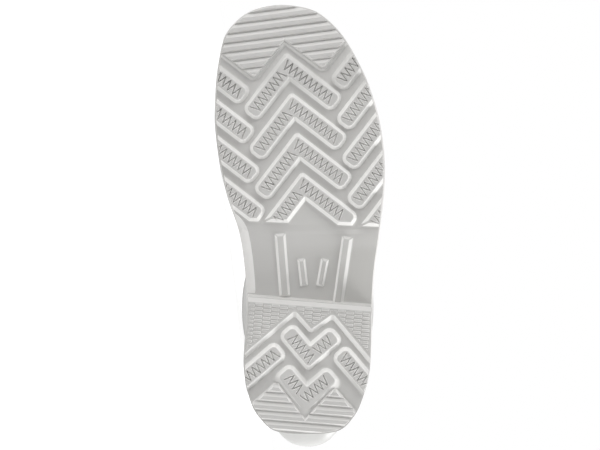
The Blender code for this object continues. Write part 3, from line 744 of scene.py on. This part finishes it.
def heelBricks():
    # small raised bricks on the front pad of the heel
    bm = bmesh.new()
    front = tread["heelPadFront"][0][1] - brick["border"] - brick["gap"]
    depth = tread["brickDepth"] + brick["sink"]
    size = Matrix.Diagonal((brick["long"], brick["wide"], depth, 1.0))
    turn = Matrix.Rotation(-math.radians(tread["heel"][2]), 4, "Z")
    for i in range(-brick["columns"], brick["columns"] + 1):
        for j in range(brick["rows"]):
            u = (i + 0.5) * brick["column"]
            v = front - (j + 0.5) * brick["row"] - brick["stagger"] * (i % 2)
            spot = onPattern("heel", u, v)
            cube = bmesh.ops.create_cube(bm, size=1.0)["verts"]
            place = Matrix.Translation((spot.x, spot.y, depth / 2.0)) @ turn @ size
            bmesh.ops.transform(bm, matrix=place, verts=cube)
            edges = list({edge for vert in cube for edge in vert.link_edges})
            bmesh.ops.bevel(bm, geom=edges, offset=brick["soft"], segments=1, profile=0.5, affect="EDGES",
                            material=-1)
    closeUp(bm)
    return bm


def brickLimit():
    # plan of the heel's front pad, with a smooth border along its zigzag edge
    bm = bmesh.new()
    corners, _ = padOutline("heel", "heelPadFront")
    outline = sidesMoved(corners, [0.0] + [-brick["lower"]] * 4 + [0.0, -brick["border"]])
    loftRings(bm, [[Vector((*p, height)) for p in outline] for height in brick["limit"]])
    closeUp(bm)
    return bm


trim = dict(soft=0.8, under=0.02, band=6.0, lap=3.0, cutStep=6.0)


def treadLimit(inset):
    # the sole's plan as a prism with a soft lower edge, which trims the tread
    soft, under = trim["soft"], trim["under"]
    steps = [(soft + trim["band"], -under), (soft, -under), *softEdge(soft)[1:]]
    rings = [soleRing(inset + step, lambda y, inner: toeSpring(y) + rise) for step, rise in steps]
    rings.append(soleRing(inset, lambda y, inner: soleBottom(y) + trim["lap"]))
    bm = bmesh.new()
    loftRings(bm, rings)
    cutAcross(bm, sole["cutEnds"], sole["length"] - sole["cutEnds"], trim["cutStep"])
    closeUp(bm, triangles=True)
    return bm


# painted light on the rubber: painted highlight on sloping sides and painted shade on flats; spans in x, y or
# depth, and how far each changes the shade
paintedLight = dict(
    lugHighlight=(0.2, 0.42), otherHighlight=(0.1, 0.36),  # from flat to leaning, as one less the downward normal
    wall=0.4, wallDown=0.1, lugSpan=(140.0, 236.0), breast=0.4, breastSpan=(84.0, 94.0), breastFacing=0.4,
    outer=0.3, outerShadeSpan=(-30.0, 15.0), tread=0.5, treadReach=1.0, shankShadeSpan=(0.5, 4.0),
    toeWall=0.85, toeWallSpan=(225.0, 262.0), toeHighlightDrop=0.5, toeSpan=(228.0, 246.0),
    heelHighlightDrop=0.6, heelSpan=(34.0, 50.0), heelDepth=(0.4, 1.2),
)


def markPaintedHighlight(bm):
    # marks the leaning sides of the tread for a painted highlight, which makes them brighter than the flats
    lean = bm.faces.layers.float.new("lean")
    bm.normal_update()
    for face in bm.faces:
        down, y = -face.normal.z, face.calc_center_median().y
        onBreast = within(y, paintedLight["breastSpan"]) and face.normal.y > paintedLight["breastFacing"]
        span = paintedLight["lugHighlight"] if within(y, paintedLight["lugSpan"]) else paintedLight["otherHighlight"]
        amount = ease(1.0 - down, *span) if down > paintedLight["wallDown"] else paintedLight["wall"]
        face[lean] = amount * (paintedLight["breast"] if onBreast else 1.0)


def markPaintedShade(bm):
    # marks painted shade: most in the sunk shank, less on the other tread flats, strongest on the outer side
    # and weakest on the inner one, and on the side wall towards the toe; and marks where the painted
    # highlight on leaning sides is thinned
    paintedShade, lift = bm.verts.layers.float.new("paintedShade"), bm.verts.layers.float.new("lift")
    for vert in bm.verts:
        x, y, z = vert.co
        sunk = z - toeSpring(y) - sole["lugDepth"]
        # the painted shade is strongest on the outer side, which lies uppermost, and weakest on the inner
        # side
        outer = paintedLight["outer"] + (1.0 - paintedLight["outer"]) * easeOff(x, *paintedLight["outerShadeSpan"])
        onTread = z < soleBottom(y) + paintedLight["treadReach"]
        onWall = paintedLight["toeWall"] * ease(y, *paintedLight["toeWallSpan"])
        vert[paintedShade] = outer * max(ease(sunk, *paintedLight["shankShadeSpan"]), paintedLight["tread"]) if onTread else onWall
        # lift thins the painted highlight on the leaning sides at the toe and in the heel
        heelPart = (1.0 - ease(y, *paintedLight["heelSpan"])) * ease(z, *paintedLight["heelDepth"])
        vert[lift] = 1.0 - paintedLight["toeHighlightDrop"] * ease(y, *paintedLight["toeSpan"]) - paintedLight["heelHighlightDrop"] * heelPart


def makeOutsole():
    body = scratchObject("soleBody", soleBody())
    # layers of the tread, from the sole outwards, each as (name, blocks, what trims it)
    layers = [("heelBlock", heelBlock(), None), ("lugs", treadLugs(), None)]
    for pattern, shape, first, count, border, heelLean in bar["rows"]:
        bars = treadBars(pattern, first, count, heelLean)
        layers.append((shape + "Bars", bars, padPrism(pattern, shape, border)))
    layers.append(("bricks", heelBricks(), brickLimit()))
    for level, (name, blocks, border) in enumerate(layers, start=1):
        block = carve(body, "UNION", name, blocks)
        carve(block, "INTERSECT", name + "Limit", treadLimit(tread["edgeInset"] * level), selfMeeting=True)
        if border:
            carve(block, "INTERSECT", name + "Border", border)
    carve(body, "UNION", "ribs", shankRibs())
    bm = takeMesh(body)
    closeUp(bm)
    markPaintedHighlight(bm)
    body = scratchObject("markedSole", bm)
    for parity in (0, 1):
        carve(body, "DIFFERENCE", "sipes", sipeCutters(parity))
    bm = takeMesh(body)
    closeUp(bm)
    bmesh.ops.holes_fill(bm, edges=[e for e in bm.edges if e.is_boundary], sides=4)
    markPaintedShade(bm)
    finishPiece("moulded_outsole", bm, mouldedSoleRubber(), "outsole", sharpAngle=40.0)


makeOutsole()


# upper: its edges in the side view, the leg's widths and the sections that the wall is drawn through
upper = dict(
    wall=2.0, inset=1.6, seamGap=0.3, sectionFullness=2.6, legFullness=2.2, vampBlend=(55.0, 125.0),
    toeBlend=(50.0, 58.0), middle=100.0, legCentre=-2.5, height=370.0, ridgeEnd=195.0, planSteps=4,
    edgeSteps=12, spurSize=(23.0, 18.0, 9.0), spurPlace=(-1.4, 3.5, 47.0), spurBlend=1.35, spurSmooth=2,
    feather=[0, 4, 8, 12, 16, 20],  # heights over the seam with the sole
    # (height, y)
    frontEdge=[(29, 295.3), (44, 295.8), (60, 291), (73, 279), (82, 258), (90, 232), (100, 206), (114, 182),
               (133, 162), (160, 147.5), (195, 141), (245, 140), (310, 143), (370, 146)],
    backEdge=[(32, 1.6), (52, -1), (78, 3), (115, 10), (160, 11.5), (220, 7), (300, 1.5), (370, -1)],
    # (height, half width)
    legWidths=[(60, 42), (105, 43.5), (150, 45), (220, 49), (300, 53.5), (370, 56)],
    # height of each section at the back and at the front
    sections=[(60, 60), (73, 72), (88, 80), (103, 86), (118, 92), (133, 99), (147, 107), (161, 117),
              (175, 130), (190, 146), (207, 168), (228, 200), (256, 240), (292, 285), (326, 325)],
    # collar bead as (height, how proud it is)
    collar=[(350, 0), (354.6, 0), (355.6, 0.1), (356.4, 0.7), (357.4, 1), (362, 1.1), (367.6, 1),
            (369.2, 0.7), (370, -0.2)],
)


def edgeAt(loop, y, inner):
    # where the plan's inner or outer edge is at a given y
    half = len(loop) // 2
    side = loop[: half + 1] if inner else [loop[0]] + loop[: half - 1: -1]
    y = min(max(y, side[0].y), side[-1].y)
    for a, b in zip(side, side[1:]):
        if a.y <= y <= b.y:
            return a.x + (b.x - a.x) * (y - a.y) / max(b.y - a.y, 1e-9)
    return side[-1].x


def ridgeHeight(y, halvings=18):
    # height of the top edge over the foot, found on the front edge; far above the boot behind the shin
    low, high = upper["frontEdge"][1][0], upper["ridgeEnd"]
    if y <= readTable(upper["frontEdge"], high):
        return 10.0 * upper["height"]
    for _ in range(halvings):
        middle = (low + high) / 2.0
        low, high = (middle, high) if readTable(upper["frontEdge"], middle) > y else (low, middle)
    return low


def wallAt(loop, y, z, share, inner):
    # x of the wall on one side, blended from the foot's form, which ends where the plan does, to the leg's
    middle, heelEnd, toeEnd = upper["middle"], upper["inset"], sole["length"] - upper["inset"]
    back, front = readTable(upper["backEdge"], z), readTable(upper["frontEdge"], z)
    footY = middle - (middle - y) * (middle - heelEnd) / (middle - back)
    if y > middle:
        planFront = front + (toeEnd - front) * easeOff(z, *upper["toeBlend"])
        footY = middle + (y - middle) * (planFront - middle) / (front - middle)
    edge = edgeAt(loop, footY, inner)
    ridge = (edgeAt(loop, footY, True) + edgeAt(loop, footY, False)) / 2.0
    bottom = soleTop(y)
    rise = min(1.0, max(0.0, (z - bottom) / max(ridgeHeight(y) - bottom, 1e-6)))
    footX = ridge + (edge - ridge) * (1.0 - rise ** upper["sectionFullness"]) ** 0.5
    power = upper["legFullness"]
    legHalf = readTable(upper["legWidths"], z) * (1.0 - abs(2.0 * share - 1.0) ** power) ** (1.0 / power)
    legX = upper["legCentre"] + (legHalf if inner else -legHalf)
    return footX + (legX - footX) * ease(z, *upper["vampBlend"])


def upperRings():
    # outer skin as rings of points, from the feather line over the sole to the collar
    shares = [p.y / sole["length"] for p in solePlan(0.0, upper["planSteps"])]
    loop = solePlan(upper["inset"], upper["edgeSteps"])
    half = len(shares) // 2
    rings = []
    for lift in upper["feather"]:
        ring = []
        for i, share in enumerate(shares):
            z = soleTop(share * sole["length"]) + upper["seamGap"] + lift
            back, front = readTable(upper["backEdge"], z), readTable(upper["frontEdge"], z)
            y = back + (front - back) * share
            ring.append(Vector((wallAt(loop, y, z, share, i < half), y, z)))
        rings.append(ring)
    widest = upper["legWidths"][-1][1]
    sections = [(back, front, 0.0) for back, front in upper["sections"]]
    for backZ, frontZ, proud in sections + [(z, z, proud) for z, proud in upper["collar"]]:
        back = readTable(upper["backEdge"], backZ) - proud
        front = readTable(upper["frontEdge"], frontZ) + proud
        ring = []
        for i, share in enumerate(shares):
            y, z = back + (front - back) * share, backZ + (frontZ - backZ) * share
            x = wallAt(loop, y, z, share, i < half)
            ring.append(Vector((x + (x - upper["legCentre"]) * proud / widest, y, z)))
        rings.append(ring)
    return rings


def ringsBetween(rings, stop):
    # one more ring halfway along the curve between each two, up to where the collar starts
    dense = []
    for i, ring in enumerate(rings):
        dense.append(ring)
        if i < stop:
            near = [rings[min(max(i + k, 0), len(rings) - 1)] for k in (-1, 0, 1, 2)]
            dense.append([throughPoints(points, 0.5) for points in zip(*near)])
    return dense


def pushSpur(bm):
    # the kick-off ledge at the heel: the wall inside an ellipsoid is drawn out over its back
    centre, size = Vector(upper["spurPlace"]), Vector(upper["spurSize"])
    soft = []
    for vert in bm.verts:
        local = Vector([(vert.co[k] - centre[k]) / size[k] for k in range(3)])
        if local.y > 0.0:
            continue
        flat = Vector((local.x, local.z))
        reach = flat.length
        if reach < upper["spurBlend"]:
            soft.append(vert)
        if reach < 1.0:
            meet = math.acos(min(1.0, max(0.0, -local.y)))
            angle = reach * meet
            side = flat.normalized() * math.sin(angle) if reach > 1e-6 else flat
            vert.co = centre + Vector((side.x * size.x, -math.cos(angle) * size.y, side.y * size.z))
    for _ in range(upper["spurSmooth"]):
        bmesh.ops.smooth_vert(bm, verts=soft, factor=0.5, use_axis_x=True, use_axis_y=True, use_axis_z=True)


skinRings = ringsBetween(upperRings(), len(upper["feather"]) + len(upper["sections"]) - 1)


def upperSkin():
    bm = bmesh.new()
    loftRings(bm, skinRings, caps=False)
    closeUp(bm)
    return bm


def thicken(obj, name, thickness):
    # a real thickness, added on the inside
    wall = obj.modifiers.new(name, "SOLIDIFY")
    wall.thickness, wall.offset = thickness * millimetre, -1.0


def makeUpper():
    bm = upperSkin()
    pushSpur(bm)
    obj = finishPiece("moulded_upper", bm, mouldedUpperPvc(), "upper", sharpAngle=180.0)
    thicken(obj, "wall", upper["wall"])
    smooth = obj.modifiers.new("smooth", "SUBSURF")
    smooth.levels = smooth.render_levels = 1


makeUpper()


# lining: knitted cloth bonded to the inside of the wall, to just under the collar
lining = dict(thick=0.7, gap=0.05, below=7.0, light="#c9cac8", dark="#aeb0af", waleMm=1.7, courseMm=1.3,
              courseShare=0.6, depthMm=0.25, legAxis=70.0, legRadius=60.0)


def knittedLining():
    # weft-knitted polyester: soft and matt, in fine upright ribs crossed by courses
    # real wales are nearer 1 mm and are drawn wider so that they show
    material, tree, shader = newMaterial("knittedPolyesterLining", Roughness=0.95, Specular_IOR_Level=0.2,
                                         Sheen_Weight=0.3)
    place = addNode(tree, "ShaderNodeUVMap", {"uv_map": "around"}).outputs["UV"]
    split = addNode(tree, "ShaderNodeSeparateXYZ", {0: place})
    wales, courses = (maths(tree, "SINE", maths(tree, "MULTIPLY", split.outputs[axis], 2.0 * math.pi / size))
                      for axis, size in (("X", lining["waleMm"]), ("Y", lining["courseMm"])))
    most = 1.0 + lining["courseShare"]
    knit = mapRange(tree, maths(tree, "MULTIPLY_ADD", courses, lining["courseShare"], wales), (-most, most))
    dressShader(tree, shader, blend(tree, knit, lining["dark"], lining["light"]), knit, lining["depthMm"])
    return material


def wrapAround(bm):
    # UV in millimetres: round the leg and up it
    layer = bm.loops.layers.uv.new("around")
    for face in bm.faces:
        angles = [math.atan2(loop.vert.co.x - upper["legCentre"], loop.vert.co.y - lining["legAxis"])
                  for loop in face.loops]
        for loop, angle in zip(face.loops, angles):
            if max(angles) - angle > math.pi:
                angle += 2.0 * math.pi
            loop[layer].uv = (angle * lining["legRadius"], loop.vert.co.z)


def makeLining():
    bm = upperSkin()
    for vert in bm.verts:
        vert.co -= vert.normal * (upper["wall"] + lining["gap"])
    cutThrough(bm, (0.0, 0.0, upper["height"] - lining["below"]), (0.0, 0.0, 1.0), clear=True)
    wrapAround(bm)
    obj = finishPiece("knitted_lining", bm, knittedLining(), None, sharpAngle=180.0)
    thicken(obj, "cloth", lining["thick"])


makeLining()


# footbed: loose needled felt
footbed = dict(inset=4.8, thick=4.0, soft=1.1, cutEnds=8.0, cutStep=6.0, light="#8d9092", dark="#6f7274",
               fibreMm=0.9, depthMm=0.25)


def needledFelt():
    # needled polyester felt: matt grey, mottled by tangled fibres
    material, tree, shader = newMaterial("needledFelt", Roughness=0.97, Specular_IOR_Level=0.15,
                                         Sheen_Weight=0.4)
    fibres = noise(tree, footbed["fibreMm"], detail=6.0, distortion=1.5)
    colour = blend(tree, fibres, footbed["dark"], footbed["light"])
    dressShader(tree, shader, colour, fibres, footbed["depthMm"])
    return material


def makeFootbed():
    edge = softEdge(footbed["soft"])
    layers = edge + [(step, footbed["thick"] - rise) for step, rise in reversed(edge)]
    bm = bmesh.new()
    loftRings(bm, [soleRing(footbed["inset"] + step, lambda y, inner: soleTop(y) + upper["seamGap"] + lift)
                   for step, lift in layers])
    cutAcross(bm, footbed["cutEnds"], sole["length"] - footbed["cutEnds"], footbed["cutStep"])
    closeUp(bm)
    finishPiece("felt_footbed", bm, needledFelt(), "insole", sharpAngle=50.0)


makeFootbed()


# room: white floor and a light tent that is dimmer on the camera's side
room = dict(
    white="#ffffff", floor="#cbcbcb", floorSize=6.0,
    nearGlow=0.4, seenGlow=0.34, farGlow=0.72, glowReach=(0.35, 1.0),
    # tent as (how far round from the camera, brightness)
    tent=[(0.2, 0.03), (0.5, 0.55), (0.75, 0.47)],
    # softboxes as (name, place, aim, size, watts)
    lights=[("overheadSoftbox", (-1.74, -1.90, 1.79), (0.0, -0.18, 0.05), 1.4, 41.0),
            ("toeSoftbox", (-1.15, -0.6, 0.3), (0.0, -0.15, 0.05), 0.5, 1.9),
            ("heelSoftbox", (0.95, -0.35, 0.8), (0.0, -0.15, 0.05), 0.6, 11.5)],
)


def seenByCamera(tree):
    return addNode(tree, "ShaderNodeLightPath").outputs["Is Camera Ray"]


def makeFloor():
    # matt white paint whose glow keeps the floor white in the picture, most of it away from the boot
    bm = bmesh.new()
    bmesh.ops.create_grid(bm, x_segments=1, y_segments=1, size=room["floorSize"])
    floor = scratchObject("floor", bm)
    material, tree, shader = newMaterial("paintedStudioFloor", Roughness=0.9, Specular_IOR_Level=0.0)
    shader.inputs["Base Color"].default_value = toLinear(room["floor"])
    shader.inputs["Emission Color"].default_value = toLinear(room["white"])
    place = addNode(tree, "ShaderNodeTexCoord").outputs["Object"]
    away = addNode(tree, "ShaderNodeVectorMath", {"operation": "LENGTH", 0: place}).outputs["Value"]
    glow = mapRange(tree, away, room["glowReach"], (room["nearGlow"], room["farGlow"]))
    seen = maths(tree, "MULTIPLY_ADD", seenByCamera(tree), room["seenGlow"], glow)
    tree.links.new(seen, shader.inputs["Emission Strength"])
    floor.data.materials.append(material)


def makeTent():
    # white where the camera sees it, and of the tent's brightness for all that it lights
    world = bpy.data.worlds.new("lightTent")
    bpy.context.scene.world = world
    world.use_nodes = True
    tree = world.node_tree
    background = tree.nodes["Background"]
    background.inputs["Color"].default_value = toLinear(room["white"])
    facing = addNode(tree, "ShaderNodeTexCoord").outputs["Generated"]
    away = addNode(tree, "ShaderNodeSeparateXYZ", {0: facing}).outputs["Y"]
    glow = addNode(tree, "ShaderNodeValToRGB", {0: mapRange(tree, away, (-1.0, 1.0))})
    stops = glow.color_ramp.elements
    for place, bright in room["tent"]:
        stops.new(place).color = (bright, bright, bright, 1.0)
    stops.remove(stops[-1])
    stops.remove(stops[0])
    backdrop = addNode(tree, "ShaderNodeMix", {0: seenByCamera(tree), 2: glow.outputs["Color"], 3: 1.0})
    tree.links.new(backdrop.outputs[0], background.inputs["Strength"])


def placeLights():
    for name, place, aim, size, watts in room["lights"]:
        lamp = bpy.data.lights.new(name, "AREA")
        lamp.energy, lamp.size = watts, size
        obj = bpy.data.objects.new(name, lamp)
        bpy.context.scene.collection.objects.link(obj)
        obj.location = place
        obj.rotation_mode = "QUATERNION"
        obj.rotation_quaternion = (Vector(place) - Vector(aim)).to_track_quat("Z", "Y")
    print("room lit by", len(room["lights"]), "softboxes")


makeFloor()
makeTent()
placeLights()
bpy.context.scene.view_settings.view_transform = "Standard"
